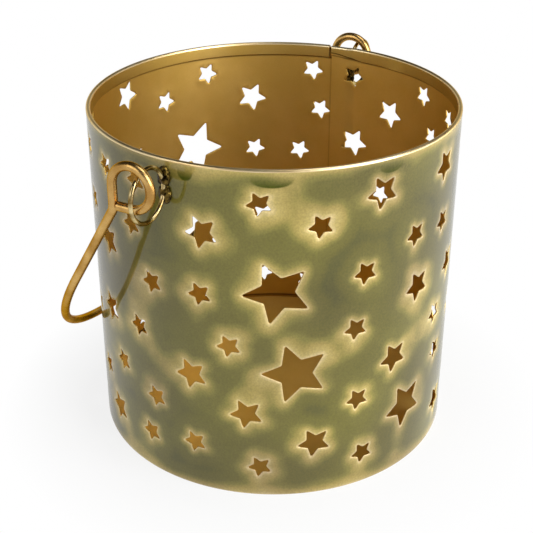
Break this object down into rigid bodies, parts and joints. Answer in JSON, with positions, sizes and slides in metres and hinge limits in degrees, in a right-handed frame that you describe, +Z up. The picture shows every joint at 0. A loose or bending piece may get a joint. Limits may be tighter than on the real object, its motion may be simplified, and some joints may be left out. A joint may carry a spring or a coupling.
{
  "type": "punched tin lantern",
  "caption": "Round open-topped tin bucket lantern punched with five-pointed stars, with a hemmed rim, a raised floor, wire ear rings and a swinging wire bail.",
  "frame": {"origin": "middle of the standing face, on the surface that the lantern stands on", "axes": "+Z up along the bucket's axis, X parallel to the bail's hinge line with the rear ear at +X, +Y towards the side where the bail hangs at rest"},
  "size_m": [0.1548, 0.1231, 0.1165],
  "materials": {
    "lacquered_tin": "glossy translucent olive lacquer over gilt tin, gold inside",
    "gilt_tin": "satin gold lacquer",
    "ring_wire": "gold lacquer, glossy where runs of lacquer lie",
    "solder": "solder under pooled dark olive lacquer, glossy",
    "bail_wire": "matte gold paint"
  },
  "bodies": {
    "bucket": {"wall_sheet": "lacquered_tin", "base_pan": "gilt_tin", "ear_ring_front": "ring_wire", "ear_ring_rear": "ring_wire", "ear_solder_front": "solder", "ear_solder_rear": "solder"},
    "bail": {"bail_handle": "bail_wire"}
  },
  "joints": [
    {"name": "bail_swing", "type": "hinge", "parent": "bucket", "child": "bail", "pos_m": [0, 0.0039, 0.1086], "axis": [1, 0, 0], "range_deg": [0, 278]}
  ]
}
